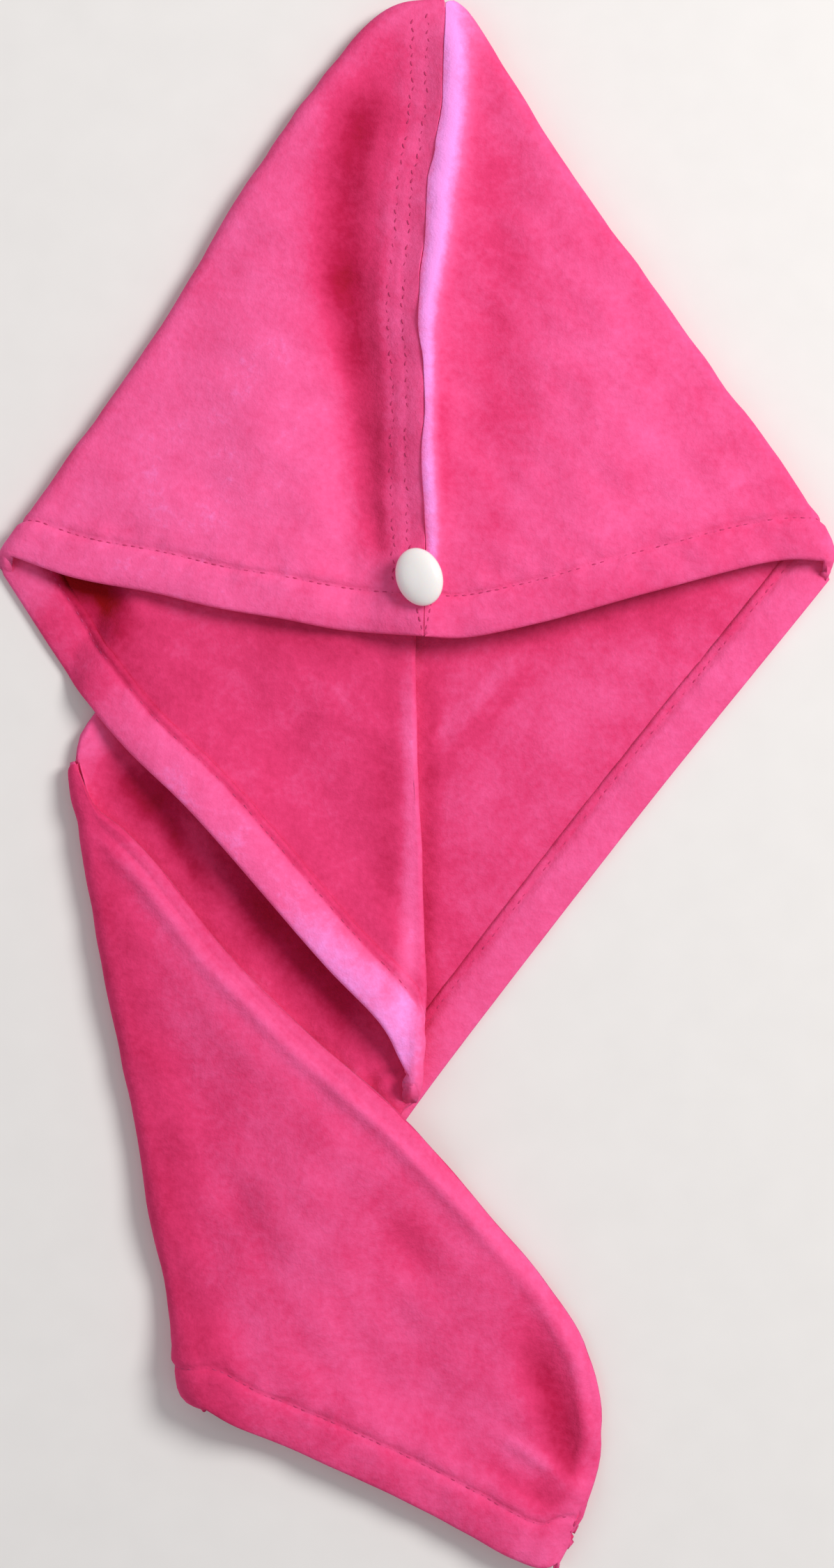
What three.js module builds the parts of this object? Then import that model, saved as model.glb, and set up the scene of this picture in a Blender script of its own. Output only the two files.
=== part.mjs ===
// Hair drying cap of soft fleece, laid flat.
// Two mirror-image panels are sewn along one long seam and hemmed along the other edge.
// The head end lies open as a hood, and the tail is folded over to the front once.
// Frame: millimetres, X to the wearer's left, Y towards the hood's point, Z up from the table.

import * as THREE from 'three';
import { mergeVertices } from 'three/addons/utils/BufferGeometryUtils.js';

// Cloth
const CLOTH = 2.0;
const HEM = 3.2;
const HEM_WIDTH = 16;
const HEM_EASE = 4;
const GAP = 0.3;

// Heights of the outer side of the cloth above the table
const HOOD_FOLD = 10.4;
const HOOD_CROWN = 6.5;
const RIDGE_HEIGHT = 2.6;
const RIDGE_WIDTH = 7;
const VALLEY_DEPTH = 3.8;
const VALLEY_OFFSET = 27;
const VALLEY_WIDTH = 12;
const POCKET_LIFT = 9;
const POCKET_REACH = 50;
const LAYER_AIR = 1.0;
const DRAPE = 18;
const TAIL_DRAPE = 38;
const DRAPE_MARGIN = 5;
const SLOPE_ALLOWANCE = 1.2;
const TAIL_PUFF = 3;
const TAIL_ROLL = 8;

// Button
const BUTTON = { long: 22, short: 17.5, dome: 5.2, rim: 1.6, shank: 3.2, shankRadius: 3 };
const BUTTON_PLACE = { x: 1.8, y: 76.8, turn: 20, tilt: -14, lift: 0.46 };

// Elastic loop that takes the button, tucked in the tip of the tail
const LOOP = { x: 44, y: -262, long: 15, short: 8, wire: 0.9, turn: -30 };

// Corners of the laid cap, seen from above
const NAPE = [2.6, 54.7];
const APEX = [10.5, 291.2];
const TIP = [56.6, -289.2];
const PANEL_V = [-2.9, -124.2];

// Sway of the hood's seam: x at each y
const SEAM_SWAY = [
  { y: NAPE[1], x: NAPE[0] },
  { y: 88, x: 5.5 },
  { y: 125, x: 4 },
  { y: 170, x: 3.4 },
  { y: 214, x: 8 },
  { y: 250, x: 12.5 },
  { y: 270, x: 13.5 },
  { y: APEX[1], x: APEX[0] },
];

// Plan curves, each from the hem towards the seam
const RIGHT_FOLD = [
  [154.6, 76.5], [144.2, 99], [110.4, 146.8], [53.4, 225], [25.6, 269], [10.65, APEX[1]],
];
const LEFT_FOLD = [
  [-155.2, 78.5], [-140.5, 98.8], [-124.8, 121.2], [-97, 160], [-72.5, 199.3], [-47.4, 238.5],
  [-28.7, 264.2], [-12.8, 282.3], [-3.4, 288.4], [10.35, APEX[1]],
];
const MIDDLE_FOLD = [
  [-4.6, -121.5], [-3.4, -109], [-2.3, -97], [0.2, -77], [0, -31], [-1.9, 15], [-2.3, 55], [0.7, 170], [3.8, 283],
];
const TAIL_FOLD = [
  [-78.5, -232.4], [-83, -213], [-89.3, -187.7], [-98.9, -135.7], [-119.7, -31.7], [-123, -16], [-126.4, 8],
];

// Share of each fold that its upper layer leaves bare at the hem
const SKEW = { right: 0.028, left: 0.028, middle: 0.035, tail: 0 };

// Plan curves along the hem, without their end corners
const NAPE_HEM_LEFT = [[-27.8, 57.3], [-51, 61.5], [-74.4, 65.4], [-97.5, 71], [-127.7, 76.8]];
const NAPE_HEM_RIGHT = [[16.4, 54.2], [43.9, 59.4], [90, 72.1], [136.2, 83.4]];
const POCKET_HEM = [[-127.5, 36.5], [-109.7, 14.4], [-84.8, -9.8], [-34.8, -67.2], [-12.5, -91]];
const BODY_HEM = [[140, 58.4], [87.4, -6.6], [16.8, -97.6], PANEL_V];
const BACK_HEM = [[-17, -141], [-40, -176.5]];
const TAIL_HEM = [[-66, -239.8], [-33, -254.2], [-5, -267.2], [18.5, -279.6], [36, -289], [47, -292.3]];

// Plan curve along the tail's seam, without its end corners
const TAIL_SEAM = [
  [-119.5, -9], [-111, -15.5], [-97.2, -29.8], [-72.3, -61], [-41.1, -92.4], [-6, -123.5],
  [28, -162.6], [49.6, -188.6], [65, -214.6], [70.6, -243.2], [67.2, -266.6], [60.4, -280],
];

// Grid of a panel
const HEM_STATIONS = 3;
const CLOTH_STATIONS = 19;
const SEAM_CROWDING = 1.6;
const FIRST_RIB = 0.004;
const LAST_RIB = 0.985;
const BEND_STEPS = 5;

// Share of a fold's turn left open, where one node of a panel ends and the next starts
const SLIT = 0.025;

const COLOURS = { panel: 0xee5590, button: 0xf6f4f2, elastic: 0xd9477f };

function clamp(value, low, high) {
  return Math.min(high, Math.max(low, value));
}

function mix(a, b, share) {
  return a + (b - a) * share;
}

function mixPoint(a, b, share) {
  return [mix(a[0], b[0], share), mix(a[1], b[1], share)];
}

// Rises smoothly from 0 at low to 1 at high
function ramp(low, high, value) {
  const share = clamp((value - low) / (high - low), 0, 1);
  return share * share * (3 - 2 * share);
}

// Smooth plan curve through a few points, as a function of its share of length
function planCurve(points) {
  const vectors = points.map(([x, y]) => new THREE.Vector3(x, y, 0));
  const curve = new THREE.CatmullRomCurve3(vectors, false, 'centripetal');
  curve.arcLengthDivisions = 400;
  return (share) => {
    const point = curve.getPointAt(clamp(share, 0, 1));
    return [point.x, point.y];
  };
}

// Distance in plan from a point to a chain of points
function distanceToChain(chain, x, y) {
  let best = Infinity;
  for (let i = 1; i < chain.length; i += 1) {
    const [ax, ay] = chain[i - 1];
    const dx = chain[i][0] - ax;
    const dy = chain[i][1] - ay;
    const along = clamp(((x - ax) * dx + (y - ay) * dy) / (dx * dx + dy * dy), 0, 1);
    best = Math.min(best, Math.hypot(x - ax - along * dx, y - ay - along * dy));
  }
  return best;
}

// Distance to the left of the line from one point to another
function besideLine([ax, ay], [bx, by], x, y) {
  const length = Math.hypot(bx - ax, by - ay);
  return ((bx - ax) * (y - ay) - (by - ay) * (x - ax)) / length;
}

function seamX(y) {
  const last = SEAM_SWAY.length - 1;
  if (y <= SEAM_SWAY[0].y) return SEAM_SWAY[0].x;
  if (y >= SEAM_SWAY[last].y) return SEAM_SWAY[last].x;
  const i = SEAM_SWAY.findIndex((row) => row.y > y);
  const low = SEAM_SWAY[i - 1];
  const high = SEAM_SWAY[i];
  return mix(low.x, high.x, ramp(low.y, high.y, y));
}

// Heights of the layers. Each gives the outer side of the cloth over a plan point.
const seamTop = RIGHT_FOLD[RIGHT_FOLD.length - 1];
const seamTurn = TAIL_FOLD[TAIL_FOLD.length - 1];
const tailCorner = TAIL_FOLD[0];
const tailHemChain = [tailCorner, ...TAIL_HEM, TIP];
const tailSeamChain = [seamTurn, ...TAIL_SEAM, TIP];
const bodyHemChain = [RIGHT_FOLD[0], ...BODY_HEM, tailCorner];
const backHemChain = [MIDDLE_FOLD[0], ...BACK_HEM, tailCorner];
const pocketEnds = [LEFT_FOLD[0], MIDDLE_FOLD[0]];

function hemShare(distance) {
  return 1 - ramp(HEM_WIDTH + HEM_EASE, HEM_WIDTH + 5 * HEM_EASE, distance);
}

function hemmed(distance) {
  return mix(CLOTH, HEM, hemShare(distance));
}

function insideTailHemLine(x, y) {
  return -besideLine(PANEL_V, tailCorner, x, y);
}

function floorHeight() {
  return 0;
}

function backHeight(x, y) {
  return hemmed(distanceToChain(bodyHemChain, x, y)) + GAP + hemmed(distanceToChain(backHemChain, x, y));
}

function liningHeight(x, y) {
  const overBack = ramp(-DRAPE, -DRAPE_MARGIN, besideLine(seamTop, seamTurn, x, y));
  const [from, to] = pocketEnds;
  const length = Math.hypot(to[0] - from[0], to[1] - from[1]);
  const along = ((x - from[0]) * (to[0] - from[0]) + (y - from[1]) * (to[1] - from[1])) / length ** 2;
  const above = besideLine(from, to, x, y);
  const lift = POCKET_LIFT * ramp(0.18, 0.5, along) * (1 - ramp(0, POCKET_REACH, above));
  return (backHeight(x, y) + LAYER_AIR) * overBack + lift;
}

function hoodHeight(x, y) {
  const beside = x - seamX(y);
  const down = clamp((APEX[1] - y) / (APEX[1] - NAPE[1]), 0, 1);
  const half = 24 + 128 * clamp((APEX[1] - y) / (APEX[1] - RIGHT_FOLD[0][1]), 0, 1);
  const across = clamp(Math.abs(beside) / half, 0, 1);
  const crown = HOOD_CROWN * ramp(0, 1.2, down) * (1 - across ** 2);
  const ridge = RIDGE_HEIGHT * ramp(0, 0.06, down) * Math.exp(-((beside / RIDGE_WIDTH) ** 2));
  const dip = Math.exp(-(((beside + VALLEY_OFFSET) / VALLEY_WIDTH) ** 2));
  return HOOD_FOLD + crown + ridge - VALLEY_DEPTH * ramp(0.15, 0.6, down) * dip;
}

function innerTailHeight(x, y) {
  const lower = insideTailHemLine(x, y);
  return (backHeight(x, y) + LAYER_AIR) * ramp(-TAIL_DRAPE, -DRAPE_MARGIN, lower);
}

function tailHeight(x, y) {
  const hem = hemmed(distanceToChain(tailHemChain, x, y));
  const roll = ramp(0, TAIL_ROLL, distanceToChain(tailSeamChain, x, y));
  const foldSide = ramp(0, 40, besideLine(tailCorner, TAIL_FOLD[4], x, y) * -1);
  return innerTailHeight(x, y) + 2 * hem * SLOPE_ALLOWANCE + GAP + TAIL_PUFF * roll * foldSide;
}

// Outer normal of a layer that faces up or down
function layerNormal(height, x, y, facing) {
  const step = 0.5;
  const slopeX = (height(x + step, y) - height(x - step, y)) / (2 * step);
  const slopeY = (height(x, y + step) - height(x, y - step)) / (2 * step);
  return new THREE.Vector3(-slopeX, -slopeY, 1).normalize().multiplyScalar(facing);
}

// Stations along a rib: the hem's, a step at its stitch line, then closer towards the seam
function stations(hemEnd) {
  const list = [0, hemEnd * 0.5, hemEnd * 0.98];
  for (let k = 0; k <= CLOTH_STATIONS; k += 1) {
    const share = 1 - (1 - k / CLOTH_STATIONS) ** SEAM_CROWDING;
    list.push(mix(hemEnd * 1.02, 1, share));
  }
  return list;
}

// Share of a rib that lies within the hem
function hemEnd(rib, hemChain) {
  let low = 0;
  let high = 0.9;
  for (let k = 0; k < 14; k += 1) {
    const middle = (low + high) / 2;
    const [x, y] = rib(middle);
    if (distanceToChain(hemChain, x, y) < HEM_WIDTH) low = middle;
    else high = middle;
  }
  return low;
}

function chainOf(curve) {
  return Array.from({ length: 41 }, (_, i) => curve(i / 40));
}

// Flat layer between two folds, as a Coons patch of its four edges in plan
function layer({ from, to, hem, seam, height, facing, count, first = 0, last = 1 }) {
  const hemChain = chainOf(hem);
  const ribs = [];
  for (let i = 0; i <= count; i += 1) {
    const t = mix(first, last, i / count);
    const rib = (u) => {
      const straight = mixPoint(from(u), to(u), t);
      const along = mixPoint(hem(t), seam(t), u);
      const corners = mixPoint(mixPoint(from(0), to(0), t), mixPoint(from(1), to(1), t), u);
      return [straight[0] + along[0] - corners[0], straight[1] + along[1] - corners[1]];
    };
    const end = hemEnd(rib, hemChain);
    const atFold = i === 0 || i === count;
    ribs.push({
      end,
      points: stations(end).map((u) => {
        const [x, y] = rib(u);
        const normal = atFold ? new THREE.Vector3(0, 0, facing) : layerNormal(height, x, y, facing);
        return { place: new THREE.Vector3(x, y, height(x, y)), normal };
      }),
    });
  }
  return ribs;
}

// Fold round a centre line. The lower layer is at turn 0 and the upper one at turn 1.
function makeFold({ points, side, skew, low, high, outerSideOut }) {
  const centre = planCurve(points);
  const edge = (turn) => (u) => centre(skew * turn + (1 - skew * turn) * u);
  const point = (turn, u) => {
    const [x, y] = edge(turn)(u);
    const [x0, y0] = edge(turn)(Math.max(0, u - 0.01));
    const [x1, y1] = edge(turn)(Math.min(1, u + 0.01));
    const length = Math.hypot(x1 - x0, y1 - y0);
    const outX = (side * (y1 - y0)) / length;
    const outY = (-side * (x1 - x0)) / length;
    const radius = (high(x, y) - low(x, y)) / 2;
    const angle = (turn - 0.5) * Math.PI;
    const out = radius * Math.cos(angle);
    const middle = (high(x, y) + low(x, y)) / 2;
    const normal = new THREE.Vector3(outX * Math.cos(angle), outY * Math.cos(angle), Math.sin(angle));
    return {
      place: new THREE.Vector3(x + outX * out, y + outY * out, middle + radius * Math.sin(angle)),
      normal: normal.multiplyScalar(outerSideOut ? 1 : -1),
    };
  };
  return { edge, point };
}

// Ribs round a fold, from the last rib of one layer almost to the first of the next
function bend(fold, before, after, upwards) {
  const ribs = [];
  for (let i = 1; i <= BEND_STEPS; i += 1) {
    const share = Math.min(i / BEND_STEPS, 1 - SLIT);
    const turn = upwards ? share : 1 - share;
    const end = mix(before.end, after.end, share);
    ribs.push({ end, points: stations(end).map((u) => fold.point(turn, u)) });
  }
  return ribs;
}

// Closed cloth wall between the outer side and the inner side of a panel's node
function clothGeometry(ribs) {
  const rows = ribs.length;
  const columns = ribs[0].points.length;
  const half = rows * columns;
  const positions = [];
  const addSide = (inner) => {
    ribs.forEach((rib) => {
      rib.points.forEach(({ place, normal }, j) => {
        const thickness = j < HEM_STATIONS ? HEM : CLOTH;
        const point = place.clone().addScaledVector(normal, inner ? -thickness : 0);
        positions.push(point.x, point.y, point.z);
      });
    });
  };
  addSide(false);
  addSide(true);
  const faces = [];
  const quad = (a, b, c, d) => faces.push(a, b, c, a, c, d);
  for (let i = 0; i < rows - 1; i += 1) {
    for (let j = 0; j < columns - 1; j += 1) {
      const a = i * columns + j;
      const b = a + columns;
      quad(a, b, b + 1, a + 1);
      quad(half + a, half + a + 1, half + b + 1, half + b);
    }
    const start = i * columns;
    const stop = start + columns - 1;
    quad(start, half + start, half + start + columns, start + columns);
    quad(stop, stop + columns, half + stop + columns, half + stop);
  }
  for (let j = 0; j < columns - 1; j += 1) {
    const last = (rows - 1) * columns + j;
    quad(j, j + 1, half + j + 1, half + j);
    quad(last, half + last, half + last + 1, last + 1);
  }
  if (signedVolume(positions, faces) < 0) faces.reverse();
  const geometry = new THREE.BufferGeometry();
  geometry.setAttribute('position', new THREE.Float32BufferAttribute(positions, 3));
  geometry.setIndex(faces);
  geometry.computeVertexNormals();
  return geometry;
}

function signedVolume(positions, faces) {
  const corner = (i) => new THREE.Vector3().fromArray(positions, faces[i] * 3);
  let volume = 0;
  for (let i = 0; i < faces.length; i += 3) {
    volume += corner(i).dot(corner(i + 1).cross(corner(i + 2))) / 6;
  }
  return volume;
}

// Hood seam for one panel, as a function of its share of length from nape to apex
function hoodSeam(side) {
  return (share) => {
    const y = mix(NAPE[1], APEX[1], share);
    return [seamX(y) + (side * GAP) / 2, y];
  };
}

function hoodHem(points, side, corner) {
  return planCurve([[NAPE[0] + (side * GAP) / 2, NAPE[1]], ...points, corner]);
}

function point(place) {
  return () => place;
}

const folds = {
  right: makeFold({
    points: RIGHT_FOLD, side: 1, skew: SKEW.right, low: floorHeight, high: hoodHeight, outerSideOut: true,
  }),
  left: makeFold({
    points: LEFT_FOLD, side: -1, skew: SKEW.left, low: liningHeight, high: hoodHeight, outerSideOut: true,
  }),
  middle: makeFold({
    points: MIDDLE_FOLD, side: 1, skew: SKEW.middle, low: backHeight, high: liningHeight, outerSideOut: false,
  }),
  tailInner: makeFold({
    points: TAIL_FOLD, side: -1, skew: SKEW.tail, low: backHeight, high: innerTailHeight, outerSideOut: false,
  }),
  tailOuter: makeFold({
    points: TAIL_FOLD, side: -1, skew: SKEW.tail, low: floorHeight, high: tailHeight, outerSideOut: true,
  }),
};

const tailFoldLine = folds.tailOuter.edge(0);
const tailHem = planCurve(tailHemChain);
const tailSeam = planCurve(tailSeamChain);

// Nodes of the right panel: hood front, back on the table, top of the tail
function rightPanel() {
  const top = folds.right.edge(1);
  const bottom = folds.right.edge(0);
  const front = layer({
    from: point(hoodSeam(1)(0)), to: top, hem: hoodHem(NAPE_HEM_RIGHT, 1, top(0)), seam: hoodSeam(1),
    height: hoodHeight, facing: 1, count: 10, first: FIRST_RIB,
  });
  const back = layer({
    from: bottom, to: tailFoldLine, hem: planCurve([bottom(0), ...BODY_HEM, tailCorner]),
    seam: planCurve([bottom(1), seamTurn]), height: floorHeight, facing: -1, count: 15,
  });
  const tail = layer({
    from: tailFoldLine, to: point(TIP), hem: tailHem, seam: tailSeam,
    height: tailHeight, facing: 1, count: 15, last: LAST_RIB,
  });
  return {
    right_front: [...front, ...bend(folds.right, front[front.length - 1], back[0], false)],
    right_back: [...back, ...bend(folds.tailOuter, back[back.length - 1], tail[0], true)],
    right_tail: tail,
  };
}

// Nodes of the left panel: hood front, lining behind it, back over the right panel,
// underside of the tail
function leftPanel() {
  const hoodEdge = folds.left.edge(1);
  const liningEdge = folds.left.edge(0);
  const liningFold = folds.middle.edge(1);
  const backFold = folds.middle.edge(0);
  const front = layer({
    from: point(hoodSeam(-1)(0)), to: hoodEdge, hem: hoodHem(NAPE_HEM_LEFT, -1, hoodEdge(0)),
    seam: hoodSeam(-1), height: hoodHeight, facing: 1, count: 10, first: FIRST_RIB,
  });
  const lining = layer({
    from: liningEdge, to: liningFold, hem: planCurve([liningEdge(0), ...POCKET_HEM, liningFold(0)]),
    seam: planCurve([liningEdge(1), liningFold(1)]), height: liningHeight, facing: -1, count: 12,
  });
  const back = layer({
    from: backFold, to: tailFoldLine, hem: planCurve([backFold(0), ...BACK_HEM, tailCorner]),
    seam: planCurve([backFold(1), seamTurn]), height: backHeight, facing: 1, count: 8,
  });
  const tail = layer({
    from: tailFoldLine, to: point(TIP), hem: tailHem, seam: tailSeam,
    height: innerTailHeight, facing: -1, count: 14, last: LAST_RIB,
  });
  return {
    left_front: [...front, ...bend(folds.left, front[front.length - 1], lining[0], false)],
    left_lining: [...lining, ...bend(folds.middle, lining[lining.length - 1], back[0], false)],
    left_back: [...back, ...bend(folds.tailInner, back[back.length - 1], tail[0], true)],
    left_tail: tail,
  };
}

function clothMesh(name, ribs) {
  const material = new THREE.MeshStandardMaterial({ color: COLOURS.panel, roughness: 0.95, metalness: 0 });
  const mesh = new THREE.Mesh(clothGeometry(ribs), material);
  mesh.name = name;
  return mesh;
}

// Domed oval button with a round shank under it
function button() {
  const radius = BUTTON.long / 2;
  const outline = [
    [0, 0], [BUTTON.shankRadius, 0], [BUTTON.shankRadius, BUTTON.shank],
    [radius - 0.8, BUTTON.shank], [radius, BUTTON.shank + BUTTON.rim / 2],
  ];
  const steps = 6;
  for (let i = 1; i <= steps; i += 1) {
    const angle = (i / steps) * (Math.PI / 2);
    const height = BUTTON.shank + BUTTON.rim + (BUTTON.dome - BUTTON.rim) * Math.sin(angle);
    outline.push([i === steps ? 0 : radius * Math.cos(angle * 0.98), height]);
  }
  const profile = outline.map(([x, y]) => new THREE.Vector2(x, y));
  const lathe = new THREE.LatheGeometry(profile, 24);
  lathe.rotateX(Math.PI / 2);
  lathe.scale(BUTTON.short / BUTTON.long, 1, 1);
  lathe.rotateY(THREE.MathUtils.degToRad(BUTTON_PLACE.tilt));
  lathe.rotateZ(THREE.MathUtils.degToRad(BUTTON_PLACE.turn));
  lathe.deleteAttribute('normal');
  lathe.deleteAttribute('uv');
  const geometry = mergeVertices(lathe, 1e-4);
  geometry.computeVertexNormals();
  const material = new THREE.MeshStandardMaterial({ color: COLOURS.button, roughness: 0.2, metalness: 0 });
  const mesh = new THREE.Mesh(geometry, material);
  mesh.name = 'button';
  const ground = hoodHeight(BUTTON_PLACE.x, BUTTON_PLACE.y);
  mesh.position.set(BUTTON_PLACE.x, BUTTON_PLACE.y, ground + BUTTON_PLACE.lift);
  return mesh;
}

function elasticLoop() {
  const torus = new THREE.TorusGeometry(LOOP.long, LOOP.wire, 6, 28);
  torus.deleteAttribute('normal');
  torus.deleteAttribute('uv');
  const geometry = mergeVertices(torus, 1e-4);
  geometry.scale(LOOP.short / LOOP.long, 1, 1);
  geometry.rotateZ(THREE.MathUtils.degToRad(LOOP.turn));
  geometry.computeVertexNormals();
  const material = new THREE.MeshStandardMaterial({ color: COLOURS.elastic, roughness: 0.9, metalness: 0 });
  const mesh = new THREE.Mesh(geometry, material);
  mesh.name = 'elastic_loop';
  mesh.position.set(LOOP.x, LOOP.y, HEM + GAP + LOOP.wire);
  return mesh;
}

const cap = new THREE.Group();
Object.entries({ ...rightPanel(), ...leftPanel() }).forEach(([name, ribs]) => {
  cap.add(clothMesh(name, ribs));
});
cap.add(button());
cap.add(elasticLoop());

export default cap;
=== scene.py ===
"""Hair drying cap of brushed fleece, laid flat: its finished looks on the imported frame."""

import math
from functools import lru_cache
from types import SimpleNamespace

import bmesh
import bpy
import numpy as np
from bpy.props import FloatProperty, FloatVectorProperty, PointerProperty
from mathutils import Matrix, Vector


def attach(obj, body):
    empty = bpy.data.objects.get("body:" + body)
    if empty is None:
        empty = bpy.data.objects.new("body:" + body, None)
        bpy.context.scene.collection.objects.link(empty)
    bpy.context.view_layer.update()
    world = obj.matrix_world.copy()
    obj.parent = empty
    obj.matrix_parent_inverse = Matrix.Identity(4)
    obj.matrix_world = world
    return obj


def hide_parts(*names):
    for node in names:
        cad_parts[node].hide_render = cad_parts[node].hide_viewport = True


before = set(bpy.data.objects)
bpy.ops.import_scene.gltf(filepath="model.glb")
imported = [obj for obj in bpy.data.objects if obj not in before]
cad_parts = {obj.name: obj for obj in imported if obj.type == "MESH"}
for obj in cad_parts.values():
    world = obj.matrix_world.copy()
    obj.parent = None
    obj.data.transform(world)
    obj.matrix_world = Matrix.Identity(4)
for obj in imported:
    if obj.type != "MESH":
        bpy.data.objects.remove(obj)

bl_info = {
    "name": "Hair drying cap",
    "version": (1, 0, 0),
    "blender": (4, 5, 0),
    "location": "View3D > Sidebar > Hair cap",
    "description": "Makes a hooded hair drying cap of brushed fleece, laid flat with its tail folded over",
    "category": "Add Mesh",
}

MM = 0.001
# The picture's width and height in pixels, and the millimetres that one of them shows
PHOTO_SIZE = (1197, 2250)
PIXEL = 0.26

# Cloth, in millimetres: its layers, the air in a turned hem, the gap between two layers, and how far
# each panel stands off the line of the hood's seam
CLOTH = 2.0
HEM = 3.2
HEM_WIDTH = 16
HEM_EASE = 4
HEM_AIR = 0.1
GAP = 0.3
SEAM_SHIFT = GAP / 6

# Heights of the outer side of the cloth above the table, in millimetres
HOOD_FOLD = 10.4
HOOD_CROWN = 6.5
RIDGE_HEIGHT = 2.6
RIDGE_WIDTH = 7
VALLEY_DEPTH = 3.8
VALLEY_OFFSET = 27
VALLEY_WIDTH = 12
POCKET_LIFT = 9
POCKET_REACH = 50
LAYER_AIR = 1.0
DRAPE = 18
TAIL_DRAPE = 38
DRAPE_MARGIN = 5
SLOPE_ALLOWANCE = 1.2
TAIL_PUFF = 3
TAIL_ROLL = 8

# Corners and plan curves of the laid cap, in millimetres. Curves run from the hem to the seam.
NAPE = (2.6, 54.7)
APEX = (10.5, 291.2)
TIP = (56.6, -289.2)
PANEL_V = (-2.9, -124.2)
# The crest of the ridge over the hood's seam, and the seam itself, as pairs of y and x
SEAM_SWAY = [
    (54.7, 2.6), (88, 5.5), (125, 4), (170, 3.4), (214, 8), (250, 12.5), (270, 13.5), (289.6, 10.5),
]
SEAM_LINE = [
    (54.7, 2.6), (92, 3.1), (123, 1.9), (139, 3), (155, 2.5), (170, 1), (186, 1.3), (209, 3.6), (225, 4.4),
    (236, 7.2), (256, 9.8), (272, 10.2), (291.2, 10.5),
]
RIGHT_FOLD = [(154.6, 76.5), (144.2, 99), (110.4, 146.8), (53.4, 225), (25.6, 269), (10.65, 291.2)]
LEFT_FOLD = [
    (-155.2, 78.5), (-140.5, 98.8), (-124.8, 121.2), (-97, 160), (-72.5, 199.3), (-47.4, 238.5),
    (-28.7, 264.2), (-12.8, 282.3), (-3.4, 288.4), (10.35, 291.2),
]
MIDDLE_FOLD = [
    (-4.6, -121.5), (-3.4, -109), (-2.3, -97), (0.2, -77), (0, -31), (-1.9, 15), (-2.3, 55),
    (0.7, 170), (3.8, 283),
]
TAIL_FOLD = [
    (-78.5, -232.4), (-83, -213), (-89.3, -187.7), (-98.9, -135.7), (-119.2, -31.7), (-121.6, -16),
    (-124.4, -4), (-127.8, 8.5),
]
SKEW = {"right": 0.028, "left": 0.028, "middle": 0.035, "tail": 0.0}

# Plan curves along the hem and along the tail's seam, without their end corners
NAPE_HEM_LEFT = [(-27.8, 57.3), (-51, 61.5), (-74.4, 65.4), (-97.5, 71), (-127.7, 76.8)]
NAPE_HEM_RIGHT = [(16.4, 54.2), (43.9, 59.4), (90, 72.1), (136.2, 83.4)]
POCKET_HEM = [(-127.5, 36.5), (-109.7, 14.4), (-84.8, -9.8), (-34.8, -67.2), (-12.5, -91)]
BODY_HEM = [(140, 58.4), (87.4, -6.6), (16.8, -97.6), PANEL_V]
BACK_HEM = [(-17, -141), (-40, -176.5)]
TAIL_HEM = [(-66, -239.8), (-33, -254.2), (-5, -267.2), (18.5, -279.6), (36, -289), (47, -292.3)]
TAIL_SEAM = [
    (-119.5, -9), (-111, -15.5), (-97.2, -29.8), (-72.3, -61), (-41.1, -92.4), (-6, -123.5),
    (28, -162.6), (49.6, -188.6), (64.4, -214.6), (68.9, -243.2), (64.4, -266.6), (57.8, -279.5),
]

# The seam beside the tail's fold swells out in plan. That fold and the hood's right one are
# rounded at their ends, over these lengths
SEAM_SWELL = [(-104, 55), (-119, 29), (-126.2, 18)]
FOLD_ROUNDING = 9
HOOD_FOLD_ROUNDING = 7

# Two rows of topstitching, by their distance from the hood's seam
BAND_ROWS = (6.3, 11.8)

# Creases and ridges that carry both relief and painted light and shade
VALLEY_TOP = [(-13, 270), (-23, 242), (-27, 214), (-27, 186), (-25, 165)]
VALLEY_FOOT = [(-25, 186), (-20, 139), (-17.5, 116), (-20, 94)]
SEAM_DIP = [(-17, 106), (-13, 82)]
BACK_CREASE = [(-95, -14), (-81, -38)]
BACK_RIDGE = [(-60, -70), (-50, -88)]
BACK_PLEAT = [(-26, -102), (-21, -114)]
TAIL_TROUGH = [(-92, -92), (-70, -140), (-48, -190)]
TAIL_DIP = [(-12, -158), (6, -186)]
TIP_DENT = [(40, -206), (52, -230), (57, -254), (50, -264)]
TIP_RIDGE = [(29.6, -242), (42, -250), (59.5, -262)]
TIP_CREASE = [(22, -250), (38, -262), (50, -268)]

# Soft relief on each layer: a chain of points, its height, its width, in millimetres
HOOD_LEFT_RELIEF = [
    (VALLEY_TOP, -2.4, 9),
    (VALLEY_FOOT, -1.6, 8),
    ([(-46, 240), (-56, 190), (-60, 150), (-58, 108)], 2.0, 16),
    ([(-110, 112), (-84, 96), (-52, 88), (-24, 84)], 0.9, 12),
    ([(-88, 150), (-78, 118), (-70, 92)], -0.7, 12),
    (SEAM_DIP, -1.1, 4),
]
HOOD_RIGHT_RELIEF = [
    ([(22, 262), (29, 222), (29, 180), (28, 140), (25, 100)], -1.2, 11),
    ([(48, 214), (60, 170), (72, 128), (80, 96)], 1.2, 20),
    ([(24, 82), (52, 88), (96, 98), (130, 108)], 0.7, 10),
    ([(100, 150), (92, 120), (84, 96)], -0.7, 14),
]
LINING_RELIEF = [
    (VALLEY_TOP, -1.2, 14),
    (VALLEY_FOOT, -1.0, 12),
    ([(-46, 39), (-24, 26), (-3, 14)], 0.9, 3),
    ([(-58, 56), (-30, 20), (-14, -12)], 0.5, 9),
    ([(-10, 40), (-9, 0), (-8, -50)], -0.7, 6),
    ([(-30, -36), (-18, -44), (-12, -55), (-5, -68), (0, -74)], 1.1, 4),
    ([(-86, 62), (-60, 30), (-40, 4)], -0.5, 14),
    ([(-1, -92), (-3, -110), (-5, -130)], -5.5, 11),
]
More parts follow.
